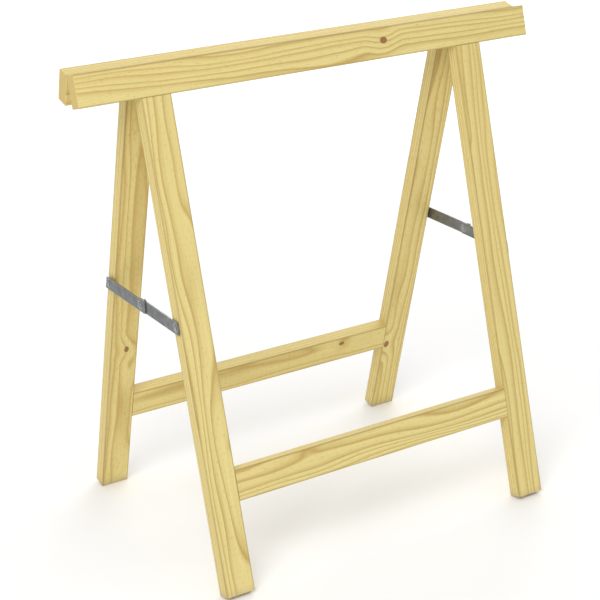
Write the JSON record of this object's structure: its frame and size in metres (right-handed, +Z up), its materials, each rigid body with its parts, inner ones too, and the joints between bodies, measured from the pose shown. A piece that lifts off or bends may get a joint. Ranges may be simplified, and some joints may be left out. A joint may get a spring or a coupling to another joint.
{
  "type": "folding sawhorse",
  "caption": "Folding wooden sawhorse: two flat frames of planed batten hinged along their top rails, held open at each end by a flat folding steel stay.",
  "frame": {"origin": "on the floor, midway between the four feet, with the sawhorse open", "axes": "+X along the top rails, -Y towards the front frame, +Z up"},
  "size_m": [0.8, 0.4596, 0.7783],
  "materials": {
    "planed_spruce": "planed, bare, arrises eased",
    "beech_dowel": "turned, bare",
    "stay_steel": "zinc plated, satin",
    "hinge_steel": "zinc plated, satin",
    "screw_steel": "bright zinc plated",
    "rivet_steel": "zinc plated, set by hand",
    "washer_steel": "zinc plated, satin"
  },
  "bodies": {
    "rear_frame": {"rear_left_leg": "planed_spruce", "rear_leg_dowels": "beech_dowel", "rear_right_leg": "planed_spruce", "rear_stretcher": "planed_spruce", "rear_stretcher_dowels": "beech_dowel", "rear_top_rail": "planed_spruce", "left_hinge_rear_leaf": "hinge_steel", "left_hinge_pin": "hinge_steel", "left_hinge_rear_screws": "screw_steel", "left_rear_spacer": "washer_steel", "left_rear_pivot_screw": "screw_steel", "right_hinge_rear_leaf": "hinge_steel", "right_hinge_pin": "hinge_steel", "right_hinge_rear_screws": "screw_steel", "right_rear_spacer": "washer_steel", "right_rear_pivot_screw": "screw_steel"},
    "front_frame": {"front_left_leg": "planed_spruce", "front_leg_dowels": "beech_dowel", "front_right_leg": "planed_spruce", "front_stretcher": "planed_spruce", "front_stretcher_dowels": "beech_dowel", "front_top_rail": "planed_spruce", "left_hinge_front_leaf": "hinge_steel", "left_hinge_front_screws": "screw_steel", "left_front_washer": "washer_steel", "left_front_pivot_screw": "screw_steel", "right_hinge_front_leaf": "hinge_steel", "right_hinge_front_screws": "screw_steel", "right_front_washer": "washer_steel", "right_front_pivot_screw": "screw_steel"},
    "left_rear_stay": {"left_rear_link": "stay_steel", "left_rivet_head": "rivet_steel"},
    "left_front_stay": {"left_front_link": "stay_steel", "left_rivet_tail": "rivet_steel"},
    "right_rear_stay": {"right_rear_link": "stay_steel", "right_rivet_head": "rivet_steel"},
    "right_front_stay": {"right_front_link": "stay_steel", "right_rivet_tail": "rivet_steel"}
  },
  "joints": [
    {"name": "fold", "type": "hinge", "parent": "rear_frame", "child": "front_frame", "pos_m": [0, 0, 0.76933], "axis": [1, 0, 0], "range_deg": [0, 30]},
    {"name": "left_rear_stay_pivot", "type": "hinge", "parent": "rear_frame", "child": "left_rear_stay", "pos_m": [-0.3076, 0.11058, 0.40556], "axis": [-1, 0, 0], "range_deg": [0, 68.43]},
    {"name": "left_front_stay_pivot", "type": "hinge", "parent": "front_frame", "child": "left_front_stay", "pos_m": [-0.3054, -0.11058, 0.40556], "axis": [1, 0, 0], "range_deg": [0, 68.43]},
    {"name": "right_rear_stay_pivot", "type": "hinge", "parent": "rear_frame", "child": "right_rear_stay", "pos_m": [0.3076, 0.11058, 0.40556], "axis": [-1, 0, 0], "range_deg": [0, 68.43]},
    {"name": "right_front_stay_pivot", "type": "hinge", "parent": "front_frame", "child": "right_front_stay", "pos_m": [0.3054, -0.11058, 0.40556], "axis": [1, 0, 0], "range_deg": [0, 68.43]}
  ],
  "couplings": [
    {"joint": "left_rear_stay_pivot", "follows": "fold", "ratio": 2.2808},
    {"joint": "left_front_stay_pivot", "follows": "fold", "ratio": 2.2808},
    {"joint": "right_rear_stay_pivot", "follows": "fold", "ratio": 2.2808},
    {"joint": "right_front_stay_pivot", "follows": "fold", "ratio": 2.2808}
  ]
}
